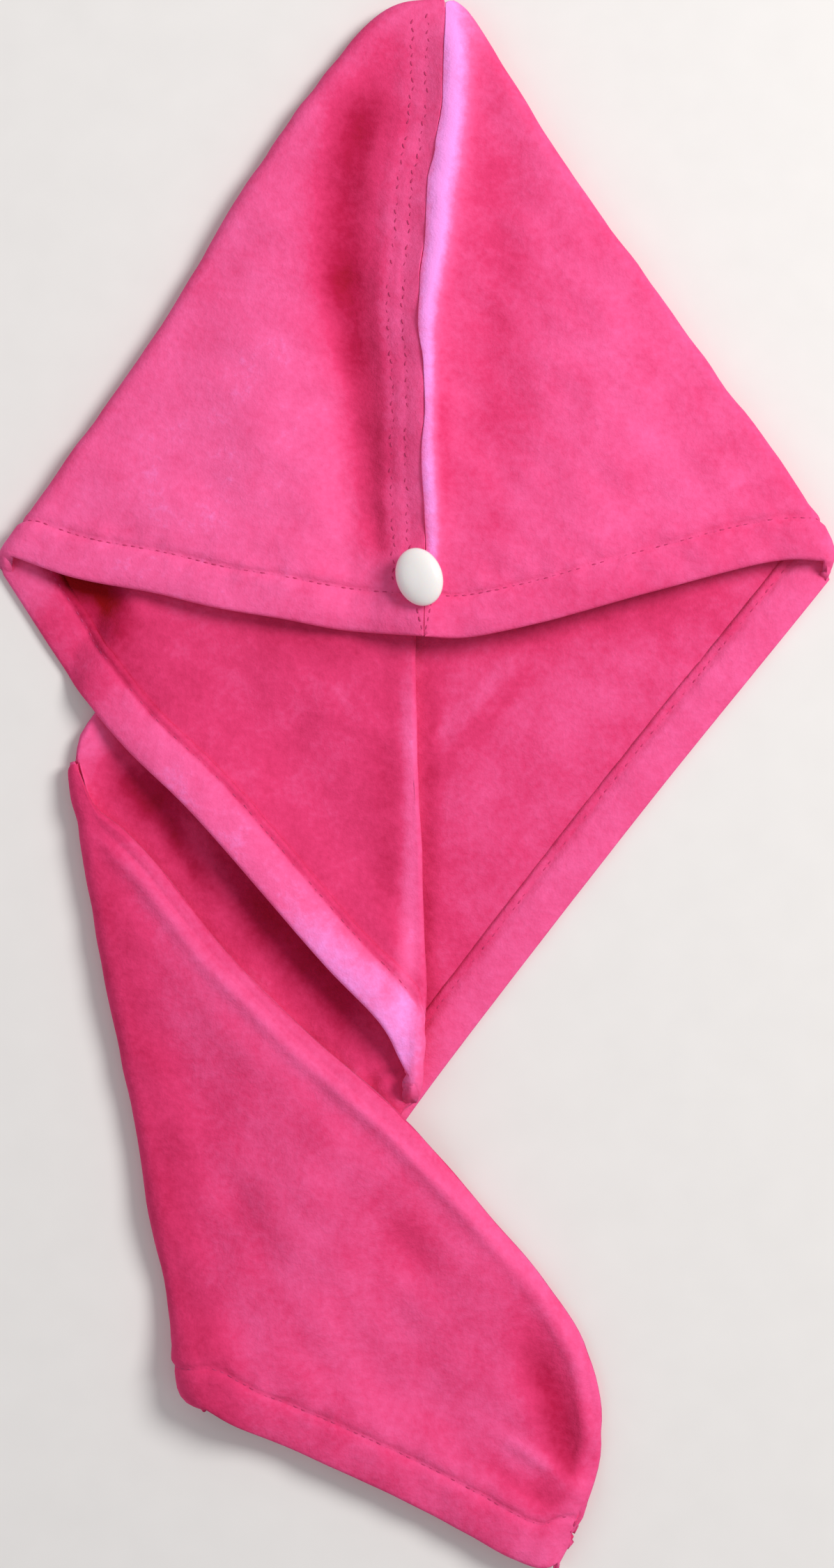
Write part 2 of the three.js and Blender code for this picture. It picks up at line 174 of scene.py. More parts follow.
FLOOR_RELIEF = [
    ([(42, 48), (22, 28), (6, 10)], -1.3, 2.6),
    ([(60, 40), (34, 12), (16, -18)], -0.7, 8),
    ([(90, 56), (64, 30), (40, 0)], -0.8, 10),
    ([(28, 40), (20, 16), (12, -30)], -0.6, 5),
]
BACK_RELIEF = [
    (VALLEY_TOP, -0.8, 14),
    ([(-112, 44), (-124, 20), (-128, 4), (-126, -16)], 1.6, 7),
    (BACK_CREASE, -1.1, 3),
    ([(-88, -12), (-72, -38)], 0.8, 3),
    (BACK_RIDGE, 1.0, 4),
    ([(-44, -86), (-37, -102)], -1.0, 4),
    (BACK_PLEAT, 1.1, 3),
    ([(-20, -106), (-14, -120)], -1.0, 3),
]
TAIL_RELIEF = [
    ([(-136, 34), (-127, 8), (-122, -6)], -1.6, 9),
    ([(50, -280), (62, -296)], -1.4, 10),
    ([(-104, -36), (-84, -70), (-52, -118), (-20, -160)], 1.0, 12),
    (TAIL_TROUGH, -1.2, 14),
    ([(-66, -100), (-34, -150), (-10, -200)], -0.7, 13),
    (TAIL_DIP, -1.4, 8),
    ([(24, -176), (44, -206)], 1.0, 10),
    (TIP_DENT, -2.8, 7),
    (TIP_RIDGE, 1.7, 3.6),
    (TIP_CREASE, -1.3, 4),
    ([(52, -266), (44, -276), (40, -286)], -0.8, 4),
]

# How light the painted shading is, from 0, a deep painted shade in valleys, creases and cast shadows, to 1,
# a pale painted highlight on crests and edges that face the light: chains of points with their change and
# width, on top of the level of each layer
HOOD_LEFT_PAINTED_SHADING = [
    ([(-130, 92), (-86, 104), (-58, 120), (-58, 176)], 0.06, 34),
    # Painted shade in the valley beside the topstitched band
    (VALLEY_TOP, -0.44, 12),
    (VALLEY_FOOT, -0.32, 8),
    (SEAM_DIP, -0.12, 5),
    ([(-120, 88), (-72, 72), (-30, 64)], 0.02, 9),
]
HOOD_RIGHT_PAINTED_SHADING = [
    ([(24, 262), (29, 222), (29, 180), (28, 140), (25, 100)], -0.12, 12),
    ([(70, 180), (76, 140), (84, 108)], 0.05, 26),
    ([(9, 156), (9, 132), (9.5, 100)], -0.09, 4),
    ([(36, 92), (76, 96), (120, 104)], 0.04, 14),
    ([(40, 62), (90, 76), (136, 88)], -0.04, 9),
]
LINING_PAINTED_SHADING = [
    # Painted light along the edge of the middle fold, which faces the light
    ([(-3, 52), (-1.5, 0), (-3, -60), (-6, -100)], 0.24, 4),
    ([(-12, 40), (-11, 0), (-12, -50)], -0.1, 7),
    ([(-146, 72), (-128, 48), (-112, 24)], -0.26, 17),
    ([(-44, -52), (-24, -74), (-6, -98), (-2, -116)], 0.17, 8),
    # Painted shadow in the corner under the left end of the nape hem
    ([(-137, 82), (-118, 73), (-110, 60)], -0.55, 6),
    ([(-70, 60), (-30, 52), (-4, 50)], -0.1, 8),
    ([(-44, 42), (-22, 29), (-3, 17)], 0.1, 3),
]
FLOOR_PAINTED_SHADING = [
    # Painted shade at the foot of the middle fold
    ([(4.5, 52), (5, 0), (3.5, -60), (2, -100)], -0.2, 3.5),
    ([(10, 52), (60, 62), (110, 74)], -0.12, 8),
    ([(40, 50), (20, 30), (4, 14)], 0.12, 2.4),
    ([(46, 46), (26, 24), (8, 4)], -0.1, 3),
    ([(40, 20), (60, 30), (84, 44)], 0.08, 16),
    ([(16, -30), (14, -60), (10, -90)], -0.04, 10),
]
BACK_PAINTED_SHADING = [
    # Painted shadow that the lining's raised hem casts into the pocket
    ([(-112, 8), (-82, -20), (-46, -62), (-20, -92), (-10, -106)], -0.22, 12),
    ([(-70, -32), (-46, -58), (-20, -88)], -0.12, 7),
    ([(-122, 18), (-114, 9)], 0.14, 7),
    ([(-112, 6), (-102, -4), (-94, -12)], -0.22, 8),
    ([(-130, -14), (-129, 6), (-122, 24), (-110, 44)], 0.14, 8),
    (BACK_CREASE, -0.12, 3),
    ([(-88, -10), (-70, -40)], 0.1, 3),
    (BACK_RIDGE, 0.1, 4),
    (BACK_PLEAT, 0.1, 3),
]
TAIL_PAINTED_SHADING = [
    (TAIL_TROUGH, -0.06, 14),
    (TAIL_DIP, -0.1, 9),
    ([(-60, -150), (-30, -190), (0, -230)], 0.05, 18),
    # Painted shade in the dent near the tip
    (TIP_DENT, -0.32, 8),
    (TIP_RIDGE, 0.14, 4),
    (TIP_CREASE, -0.12, 4),
    ([(34, -284), (50, -290)], 0.12, 8),
]

# Grid of a panel. Each rib runs from the raw edge of the turned hem, round the hem's rim and over
# the cloth to the seam, where it rolls over and tucks in. Stations on the hem are in millimetres.
HEM_END, SEAM_END = np.array(0.0), np.array(1.0)
STITCH_LINE = 15.6
TURNED_STATIONS = (18.6, 17.4, 16.4, STITCH_LINE, 14.4, 12.4, 9.4, 6.2, 3.4)
HEM_STATIONS = (3.0, 5.6, 8.4, 11.2, 13.4, 14.8, STITCH_LINE)
CLOTH_SHARES = (0.003, 0.008, 0.016, 0.028)
CLOTH_STATIONS = 68
SEAM_CROWDING = 1.7
RIM_STEPS = 6
ROLL_STEPS = 6
TUCK_STEPS = 3
BEND_STEPS = 12
FIRST_RIB = 0.002
LAST_RIB = 0.975
LAST_RIB_UNDER = 0.963
TIP_ROLL = 3
TIP_ROLL_UNDER = 1
TIP_ANGLES = (18, 36, 54, 72)

# Place of the button on the hood, its turn and its lean in degrees, and its height over the cloth
BUTTON_PLACE = (1.8, 76.8)
BUTTON_TURN = 20
BUTTON_LEAN = 14
BUTTON_LIFT = 0.46

# Studio, in metres and watts, with the lens and the sensor in millimetres. The camera's scale is
# true at the height of the cloth. Each light has a place, a size, a power and a tint.
LENS = 85.0
SENSOR = 36.0
TRUE_HEIGHT = 0.008
FLOOR_SIZE = 3
FLOOR_DROP = 0.0005
SKY_STRENGTH = 0.38
LIGHTS = (
    ("key_light", (1.15, 0.68, 1.35), 0.8, 29, "fffaf8"),
    ("fill_light", (-1.3, -0.2, 1.3), 1.4, 3, "f6f2ff"),
)


def ramp(low, high, value):
    """Rises smoothly from 0 at low to 1 at high."""
    share = np.clip((value - low) / (high - low), 0, 1)
    return share * share * (3 - 2 * share)


def bell(value, width):
    return np.exp(-((value / width) ** 2))


def mix(a, b, share):
    return a + (b - a) * share


def drift(x, y, wavelength, seed):
    """Seeded soft undulation of about one unit, with waves of the given length."""
    random = np.random.default_rng(seed)
    total = 0
    for _ in range(7):
        angle, phase = random.uniform(0, 2 * math.pi, 2)
        rate = 2 * math.pi / (wavelength * random.uniform(0.7, 1.5))
        total = total + np.sin((x * math.cos(angle) + y * math.sin(angle)) * rate + phase)
    return total / 1.87


def plan_curve(points):
    """Smooth plan curve through a few points, as a function of its share of length."""
    knots = np.asarray(points, float)
    padded = np.vstack([2 * knots[0] - knots[1], knots, 2 * knots[-1] - knots[-2]])

    def at(t):
        whole = np.asarray(t, float) * (len(knots) - 1)
        i = np.minimum(whole.astype(int), len(knots) - 2)
        w = (whole - i)[..., None]
        a, b, c, d = (padded[i + k] for k in range(4))
        ab, bc, cd = (
            np.sqrt(np.linalg.norm(q - p, axis=-1, keepdims=True)) for p, q in ((a, b), (b, c), (c, d))
        )
        out = ((b - a) / ab - (c - a) / (ab + bc) + (c - b) / bc) * bc
        into = ((c - b) / bc - (d - b) / (bc + cd) + (d - c) / cd) * bc
        return b + out * w + (3 * (c - b) - 2 * out - into) * w**2 + (2 * (b - c) + out + into) * w**3

    t = np.linspace(0, 1, 401)
    lengths = np.concatenate([[0], np.cumsum(np.linalg.norm(np.diff(at(t), axis=0), axis=1))])
    return lambda share: at(np.interp(np.clip(share, 0, 1) * lengths[-1], lengths, t))


def near_chain(chain, x, y):
    """Distance to a chain of points, and the share of the chain's length at the nearest one."""
    chain = np.asarray(chain, float)
    steps = np.diff(chain, axis=0)
    lengths = np.linalg.norm(steps, axis=1)
    starts = np.concatenate([[0], np.cumsum(lengths)])
    best = np.full(np.shape(x), np.inf)
    share = np.zeros(np.shape(x))
    for start, step, length, before in zip(chain, steps, lengths, starts):
        along = np.clip(((x - start[0]) * step[0] + (y - start[1]) * step[1]) / length**2, 0, 1)
        distance = np.hypot(x - start[0] - along * step[0], y - start[1] - along * step[1])
        share = np.where(distance < best, (before + along * length) / starts[-1], share)
        best = np.minimum(best, distance)
    return best, share


def beside_line(start, end, x, y):
    """Distance to the left of the line from one point to another."""
    (ax, ay), (bx, by) = start, end
    return ((bx - ax) * (y - ay) - (by - ay) * (x - ax)) / math.hypot(bx - ax, by - ay)


def relief(features, x, y):
    """Soft ridges and furrows that fade out at their ends."""
    total = np.zeros(np.shape(x))
    for chain, height, width in features:
        distance, share = near_chain(chain, x, y)
        fade = 0.35 + 0.65 * ramp(0, 0.25, share) * (1 - ramp(0.75, 1, share))
        total = total + height * bell(distance, width) * fade
    return total


SEAM_TOP = RIGHT_FOLD[-1]
SEAM_TURN = TAIL_FOLD[-1]
TAIL_CORNER = TAIL_FOLD[0]
TAIL_HEM_CHAIN = [TAIL_CORNER, *TAIL_HEM, TIP]
TAIL_SEAM_CHAIN = [SEAM_TURN, *TAIL_SEAM, TIP]
BODY_HEM_CHAIN = [RIGHT_FOLD[0], *BODY_HEM, TAIL_CORNER]
BACK_HEM_CHAIN = [MIDDLE_FOLD[0], *BACK_HEM, TAIL_CORNER]


def sway(line, y):
    """Place of a nearly upright line at each height, easing from one point to the next."""
    ys, xs = (np.array(column, float) for column in zip(*line))
    i = np.clip(np.searchsorted(ys, y, side="right") - 1, 0, len(ys) - 2)
    share = np.clip((y - ys[i]) / (ys[i + 1] - ys[i]), 0, 1)
    return mix(xs[i], xs[i + 1], share * share * (3 - 2 * share))


def crest_x(y):
    return sway(SEAM_SWAY, y)


def seam_x(y):
    return sway(SEAM_LINE, y)


def hemmed(chain, x, y):
    distance, _ = near_chain(chain, x, y)
    return mix(HEM, CLOTH, ramp(HEM_WIDTH + HEM_EASE, HEM_WIDTH + 5 * HEM_EASE, distance))


def floor_height(x, y):
    return np.zeros(np.shape(x))


def back_height(x, y):
    return hemmed(BODY_HEM_CHAIN, x, y) + GAP + hemmed(BACK_HEM_CHAIN, x, y)


def lining_height(x, y):
    over_back = ramp(-DRAPE, -DRAPE_MARGIN, beside_line(SEAM_TOP, SEAM_TURN, x, y))
    start, end = np.array(LEFT_FOLD[0]), np.array(MIDDLE_FOLD[0])
    span = end - start
    along = ((x - start[0]) * span[0] + (y - start[1]) * span[1]) / (span @ span)
    above = beside_line(start, end, x, y)
    lift = POCKET_LIFT * ramp(0.18, 0.5, along) * (1 - ramp(0, POCKET_REACH, above))
    return (back_height(x, y) + LAYER_AIR) * over_back + lift


def hood_height(x, y):
    beside = x - crest_x(y)
    down = np.clip((APEX[1] - y) / (APEX[1] - NAPE[1]), 0, 1)
    half = 24 + 128 * np.clip((APEX[1] - y) / (APEX[1] - RIGHT_FOLD[0][1]), 0, 1)
    across = np.clip(np.abs(beside) / half, 0, 1)
    crown = HOOD_CROWN * ramp(0, 1.2, down) * (1 - across**2)
    ridge = RIDGE_HEIGHT * ramp(0, 0.06, down) * bell(beside, RIDGE_WIDTH)
    valley = VALLEY_DEPTH * ramp(0.15, 0.6, down) * bell(beside + VALLEY_OFFSET, VALLEY_WIDTH)
    return HOOD_FOLD + crown + ridge - valley


def inner_tail_height(x, y):
    lower = -beside_line(PANEL_V, TAIL_CORNER, x, y)
    return (back_height(x, y) + LAYER_AIR) * ramp(-TAIL_DRAPE, -DRAPE_MARGIN, lower)


def tail_height(x, y):
    roll = ramp(0, TAIL_ROLL, near_chain(TAIL_SEAM_CHAIN, x, y)[0])
    fold_side = ramp(0, 40, -beside_line(TAIL_CORNER, TAIL_FOLD[4], x, y))
    doubled = 2 * hemmed(TAIL_HEM_CHAIN, x, y) * SLOPE_ALLOWANCE + GAP
    return inner_tail_height(x, y) + doubled + TAIL_PUFF * roll * fold_side


def seam_rise(x, y):
    """Rise of the cloth towards the hood's seam, which dies out above the button and at the apex."""
    down = (APEX[1] - y) / (APEX[1] - NAPE[1])
    return 2.0 * bell(x - crest_x(y), 15) * ramp(0.0, 0.14, down) * ramp(86, 124, y)


def hood_left_relief(x, y):
    """The flat topstitched band beside the seam, the valley beyond it, and the soft bulge."""
    beside = seam_x(y) - x
    down = ramp(0.0, 0.1, (APEX[1] - y) / (APEX[1] - NAPE[1]))
    band = 0.2 * bell(beside, 3.5) + 0.15 * bell(beside - 9, 2.2) + 0.25 * bell(beside - 15, 2.8)
    rows = sum(-0.14 * bell(beside - row, 1.2) for row in BAND_ROWS) - 0.25 * bell(beside - 19, 3)
    waves = 0.35 * drift(x, y, 46, 11) + 0.2 * drift(x, y, 17, 12)
    soft = relief(HOOD_LEFT_RELIEF, x, y) + waves * ramp(0, 30, APEX[1] - y)
    return (band + rows) * down + soft + seam_rise(x, y)


def hood_right_relief(x, y):
    """The rolled edge along the seam, the trough beside it, and long soft swells."""
    beside = x - crest_x(y)
    down = ramp(0.0, 0.1, (APEX[1] - y) / (APEX[1] - NAPE[1]))
    roll = (1.2 + 0.3 * drift(x, y, 40, 21)) * bell(beside - 0.4, 3.8) * ramp(66, 110, y)
    waves = 0.35 * drift(x, y, 52, 22) + 0.18 * drift(x, y, 18, 23)
    soft = relief(HOOD_RIGHT_RELIEF, x, y) + waves * ramp(0, 30, APEX[1] - y)
    return roll * down + soft + seam_rise(x, y)


def lining_relief(x, y):
    return -relief(LINING_RELIEF, x, y) + 0.2 * drift(x, y, 40, 31) + 0.1 * drift(x, y, 15, 32)


def floor_relief(x, y):
    waves = 0.25 * drift(x, y, 44, 41) + 0.12 * drift(x, y, 16, 42)
    return relief(FLOOR_RELIEF, x, y) - np.abs(waves)


def back_relief(x, y):
    return relief(BACK_RELIEF, x, y) + 0.15 * drift(x, y, 22, 51)


def tail_inner_relief(x, y):
    return -0.2 * np.abs(drift(x, y, 40, 61))


def tail_relief(x, y):
    """The ridge of the seam's allowance, long soft folds and the dents near the tip."""
    distance, share = near_chain(TAIL_SEAM_CHAIN, x, y)
    rolled = ramp(0.4, 0.72, share)
    ridge = 1.2 * bell(distance - mix(8.8, 4.5, rolled), 2.8)
    ridge = ridge - 0.6 * bell(distance - mix(15, 11, rolled), 5)
    ridge = ridge - 0.7 * bell(distance - 4.8, 1.1) * (1 - rolled)
    waves = 0.45 * drift(x, y, 50, 71) + 0.22 * drift(x, y, 18, 72)
    near_tip = ramp(0.86, 0.97, share)
    return ridge * ramp(0.03, 0.12, share) * (1 - near_tip) + relief(TAIL_RELIEF, x, y) + waves


def on_hem(chain, x, y):
    """Is 1 on the turned hem along a chain and 0 beyond its stitches."""
    return 1 - ramp(13.5, 16.5, near_chain(chain, x, y)[0])


# Painted light and shade of the hood's left front: a level, a little darker on the topstitched band, and
# the table's painted shade
def hood_left_painted_shading(x, y):
    band = 1 - ramp(14, 20, seam_x(y) - x)
    return 0.67 - 0.03 * band + relief(HOOD_LEFT_PAINTED_SHADING, x, y)


# Painted light and shade of the hood's right front: a painted highlight along the crest of the rolled seam
# edge, narrower towards the nape
def hood_right_painted_shading(x, y):
    width = 2.6 + 3.6 * ramp(150, 250, y)
    crest = bell(x - crest_x(y) - 0.2, width) * (0.8 + 0.2 * ramp(130, 190, y)) * ramp(66, 92, y)
    return 0.62 + 0.44 * crest + relief(HOOD_RIGHT_PAINTED_SHADING, x, y)


# Painted light and shade of the lining: paler on its turned hem, which faces the light
def lining_painted_shading(x, y):
    hem = on_hem([LEFT_FOLD[0], *POCKET_HEM, MIDDLE_FOLD[0]], x, y)
    return 0.49 + 0.26 * hem + relief(LINING_PAINTED_SHADING, x, y)


# Painted light and shade of the right panel's back on the table: paler on its turned hem
def floor_painted_shading(x, y):
    return 0.55 + 0.12 * on_hem(BODY_HEM_CHAIN, x, y) + relief(FLOOR_PAINTED_SHADING, x, y)


# Painted light and shade of the left panel's back, with painted shadow in the pocket; also used on the
# tail's underside
def back_painted_shading(x, y):
    return 0.5 + relief(BACK_PAINTED_SHADING, x, y)


# Painted light and shade of the tail: a painted highlight along the seam's ridge, painted shade along its
# folded left edge, a little darker on the hem
def tail_painted_shading(x, y):
    distance, share = near_chain(TAIL_SEAM_CHAIN, x, y)
    crest = bell(distance - mix(8.5, 3, ramp(0.4, 0.72, share)), 4.5)
    edge = 1 - ramp(3, 22, near_chain(TAIL_FOLD, x, y)[0])
    hem = on_hem(TAIL_HEM_CHAIN, x, y)
    return 0.58 + 0.08 * crest - 0.17 * edge + relief(TAIL_PAINTED_SHADING, x, y) - 0.02 * hem


def up_normal(height, x, y):
    step = 0.5
    slope_x = (height(x + step, y) - height(x - step, y)) / (2 * step)
    slope_y = (height(x, y + step) - height(x, y - step)) / (2 * step)
    normal = np.stack([-slope_x, -slope_y, np.ones(np.shape(x))], axis=-1)
    return normal / np.linalg.norm(normal, axis=-1, keepdims=True)


def chain_of(curve):
    return curve(np.linspace(0, 1, 61))


def hem_end(plan, chain, count):
    """Share of each rib that lies within the hem."""
    low, high = np.zeros((count, 1)), np.full((count, 1), 0.9)
    for _ in range(16):
        middle = (low + high) / 2
        xy = plan(middle)
        inside = near_chain(chain, xy[..., 0], xy[..., 1])[0] < HEM_WIDTH
        low, high = np.where(inside, middle, low), np.where(inside, high, middle)
    return low


# The argument nap gives the layer's painted light and shade at each place in plan
def flat_layer(start, stop, hem, seam, height, facing, shape, nap, roll, count, first=0.0, last=1.0):
    """Layer of cloth between two folds, as a Coons patch of its four edges in plan."""
    t = np.linspace(first, last, count + 1)[:, None]
    corners = [edge(end) for end in (HEM_END, SEAM_END) for edge in (start, stop)]

    def plan(u):
        across = t[..., None]
        straight = mix(start(u), stop(u), across)
        along = mix(hem(t), seam(t), u[..., None])
        low, high = mix(corners[0], corners[1], across), mix(corners[2], corners[3], across)
        return straight + along - mix(low, high, u[..., None])

    def place(u, inset, outwards):
        xy = plan(u)
        x, y = xy[..., 0], xy[..., 1]
        normal = up_normal(height, x, y) * facing
        flat = np.concatenate([xy, height(x, y)[..., None]], axis=-1)
        lift = shape(x, y) + outwards(near_chain(hem_chain, x, y)[0], x, y)
        return flat + normal * (lift - inset)[..., None], normal, nap(x, y)

    hem_chain = chain_of(hem)
    ones = np.ones((count + 1, 1))
    speed = np.linalg.norm(plan(ones) - plan(ones - 0.01), axis=-1) / 0.01
    return SimpleNamespace(
        end=hem_end(plan, hem_chain, count + 1), speed=speed, place=place, roll=roll(t), shape=shape,
        nap=nap,
    )


def fold(points, side, skew, low, high, outer_side_out, rounding=0.1):
    """Fold round a centre line. The lower layer is at turn 0 and the upper one at turn 1. Over the
    rounding's length the fold draws in wholly towards the hem and by a third towards the seam."""
    centre = plan_curve(points)
    length = np.linalg.norm(np.diff(chain_of(centre), axis=0), axis=1).sum()

    def edge(turn):
        return lambda u: centre(skew * turn + (1 - skew * turn) * u)

    def place(u, turn):
        line = edge(turn)
        xy = line(u)
        along = line(np.minimum(1, u + 0.01)) - line(np.maximum(0, u - 0.01))
        along = along / np.linalg.norm(along, axis=-1, keepdims=True)
        x, y = xy[..., 0], xy[..., 1]
        bottom, top = low(x, y), high(x, y)
        angle = (turn - 0.5) * math.pi
        out = np.cos(angle)[..., None] * np.stack([side * along[..., 1], -side * along[..., 0]], axis=-1)
        up = np.sin(angle) * np.ones(np.shape(x))
        radius = (top - bottom) / 2
        from_hem, from_seam = (np.clip(v * length / rounding, 0, 1) for v in (u, 1 - u))
        reach = radius * np.sqrt(1 - (1 - from_hem) ** 2) * (1 - 0.33 * (1 - from_seam) ** 2)
        flat = np.concatenate(
            [xy + out * reach[..., None], ((bottom + top) / 2 + up * radius)[..., None]], axis=-1
        )
        normal = np.concatenate([out, up[..., None]], axis=-1)
        return flat, normal if outer_side_out else -normal, x, y

    return SimpleNamespace(edge=edge, place=place)


def bend(bent, before, after, upwards):
    """Cloth round a fold, between the last rib of one layer and the first of the next."""
    share = np.arange(1, BEND_STEPS)[:, None] / BEND_STEPS
    turn = share if upwards else 1 - share
    end = mix(before.end[-1], after.end[0], share)

    def place(u, inset, outwards):
        flat, normal, x, y = bent.place(u, turn)
        lift = mix(before.shape(x, y), after.shape(x, y), share)
        lift = lift + outwards(u / end * HEM_WIDTH, x, y)
        # Painted light and shade, blended from one layer to the next
        nap = mix(before.nap(x, y), after.nap(x, y), share)
        return flat + normal * (lift - inset)[..., None], normal, nap

    roll = tuple(mix(a[-1], b[0], share) for a, b in zip(before.roll, after.roll))
    speed = mix(before.speed[-1], after.speed[0], share)
    return SimpleNamespace(end=end, speed=speed, place=place, roll=roll)


def open_roll(radius):
    """Edge beside a seam that lies open: it rolls over and goes down into it, hardly so at the hem."""

    def at(t):
        share = ramp(0.05, 0.28, t)
        turn, tuck = np.full(t.shape, math.radians(88)), np.full(t.shape, 0.1)
        return mix(0.2, radius, share), turn, tuck, mix(0.3, 0.9, share)

    return at


def stacked_roll(half):
    """Edge at a seam between two stacked layers: it rolls to their middle and turns in."""
    turn = math.radians(72)
    return lambda t: tuple(
        np.full(t.shape, v) for v in (half / (1 - math.cos(turn)), turn, 3.6, -0.04)
    )


def hem_puff(distance):
    """Swelling of the hem between its rim and its stitches."""
    puff = bpy.context.scene.cap_sizes.hem_puff / MM
    return puff * np.sin(np.clip(distance / STITCH_LINE, 0, 1) * math.pi) ** 0.8


def puckers(distance, x, y):
    """Puckers that the stitches draw into the cloth about them."""
    return 0.3 * drift(x, y, 10, 5) * bell(distance - STITCH_LINE, 8)


def hem_outer(distance, x, y):
    """Puff of the turned hem, the groove of its stitches and the puckers about them."""
    groove = -0.8 * bell(distance - STITCH_LINE, 1.2)
    beyond = 0.3 * bell(distance - STITCH_LINE - 3.2, 2)
    return hem_puff(distance) + groove + puckers(distance, x, y) + beyond


def hem_inner(distance, x, y):
    """The turned layer, seen from inside: puffed, drawn down by its stitches and at its raw edge."""
    drawn = -0.95 * bell(distance - STITCH_LINE, 1.0) - 1.25 * ramp(16.2, 18.4, distance)
    return puckers(distance, x, y) - hem_puff(distance) - drawn


def no_lift(distance, x, y):
    return np.zeros(np.shape(x))


def sheet_of(part):
    """Points, outer normals and painted light and shade (nap) of one layer or bend, from its raw edge to
    its seam allowance.
    """
    wall = bpy.context.scene.cap_sizes.cloth_wall / MM
    rows = len(part.end)
    radius, turn, tuck, fall = part.roll
    reach, tuck = np.minimum(radius, 0.25 * part.speed), np.minimum(tuck, 0.3 * part.speed)
    roll_start = 1 - reach * np.sin(turn) / part.speed
    per_mm = np.minimum(part.end, 0.8 * roll_start) / HEM_WIDTH
    turned = wall * 2 + HEM_AIR
    rim = turned / 2
    pieces = []

    def add(u, inset, outwards):
        u = np.broadcast_to(u, (rows, u.shape[-1]))
        pieces.append(part.place(u, np.broadcast_to(inset, u.shape), outwards))

    turned_at = np.array(TURNED_STATIONS)[None, :]
    add(per_mm * turned_at, np.array([[turned]]), hem_inner)
    angle = np.linspace(-math.pi / 2, math.pi / 2, RIM_STEPS + 1)[None, :]
    add(per_mm * rim * (1 - np.cos(angle)), rim - rim * np.sin(angle), no_lift)
    add(per_mm * np.array(HEM_STATIONS)[None, :], np.array([[0.0]]), hem_outer)

    phi = turn * np.linspace(0, 1, ROLL_STEPS + 1)[None, :]
    shares = 1 - (1 - np.linspace(0, 1, CLOTH_STATIONS)) ** SEAM_CROWDING
    shares = np.concatenate([CLOTH_SHARES, 0.04 + 0.96 * shares])[None, :-1]
    add(mix(per_mm * (HEM_WIDTH + 0.4), roll_start, shares), np.array([[0.0]]), hem_outer)

    tucked = np.linspace(0, 1, TUCK_STEPS + 1)[None, 1:]
    beyond = np.concatenate([reach * (np.sin(turn) - np.sin(phi)), tuck * tucked], axis=1)
    depth = np.concatenate(
        [radius * (1 - np.cos(phi)), radius * (1 - np.cos(turn)) + fall * tucked], axis=1
    )
    add(1 - beyond / part.speed, depth, no_lift)
    return tuple(np.concatenate(column, axis=1) for column in zip(*pieces))


def edge_point(place):
    return lambda u: np.broadcast_to(np.array(place, float), np.shape(u) + (2,))


def hood_seam(side):
    def at(share):
        y = mix(NAPE[1], APEX[1], share)
        return np.stack([seam_x(y) + side * SEAM_SHIFT, y], axis=-1)

    return at


def hood_hem(points, side, corner):
    return plan_curve([(NAPE[0] + side * SEAM_SHIFT, NAPE[1]), *points, corner])


@lru_cache(maxsize=1)
def folds():
    return SimpleNamespace(
        right=fold(RIGHT_FOLD, 1, SKEW["right"], floor_height, hood_height, True, HOOD_FOLD_ROUNDING),
        left=fold(LEFT_FOLD, -1, SKEW["left"], lining_height, hood_height, True),
        middle=fold(MIDDLE_FOLD, 1, SKEW["middle"], back_height, lining_height, False),
        tail_inner=fold(
            TAIL_FOLD, -1, SKEW["tail"], back_height, inner_tail_height, False, FOLD_ROUNDING
        ),
        tail_outer=fold(TAIL_FOLD, -1, SKEW["tail"], floor_height, tail_height, True, FOLD_ROUNDING),
    )


BACK_HALF = (2 * CLOTH + GAP) / 2
TAIL_HALF = (2 * CLOTH * SLOPE_ALLOWANCE + GAP) / 2


@lru_cache(maxsize=1)
def right_panel():
    """Hood front, back on the table, top of the tail."""
    bent = folds()
    top, bottom, turn = bent.right.edge(1.0), bent.right.edge(0.0), bent.tail_outer.edge(0.0)
    front = flat_layer(
        edge_point(hood_seam(1)(HEM_END)), top, hood_hem(NAPE_HEM_RIGHT, 1, top(HEM_END)),
        hood_seam(1), hood_height, 1, hood_right_relief, hood_right_painted_shading, open_roll(0.6), count=72,
        first=FIRST_RIB,
    )
    back = flat_layer(
        bottom, turn, plan_curve([bottom(HEM_END), *BODY_HEM, TAIL_CORNER]),
        plan_curve([bottom(SEAM_END), *SEAM_SWELL, SEAM_TURN]), floor_height, -1, floor_relief,
        floor_painted_shading, stacked_roll(BACK_HALF), count=96,
    )
    tail = flat_layer(
        turn, edge_point(TIP), plan_curve(TAIL_HEM_CHAIN), plan_curve(TAIL_SEAM_CHAIN), tail_height, 1,
        tail_relief, tail_painted_shading, stacked_roll(TAIL_HALF), count=84, last=LAST_RIB,
    )
    return joined(
        front, bend(bent.right, front, back, False), back, bend(bent.tail_outer, back, tail, True), tail,
        tip_roll=TIP_ROLL,
    )


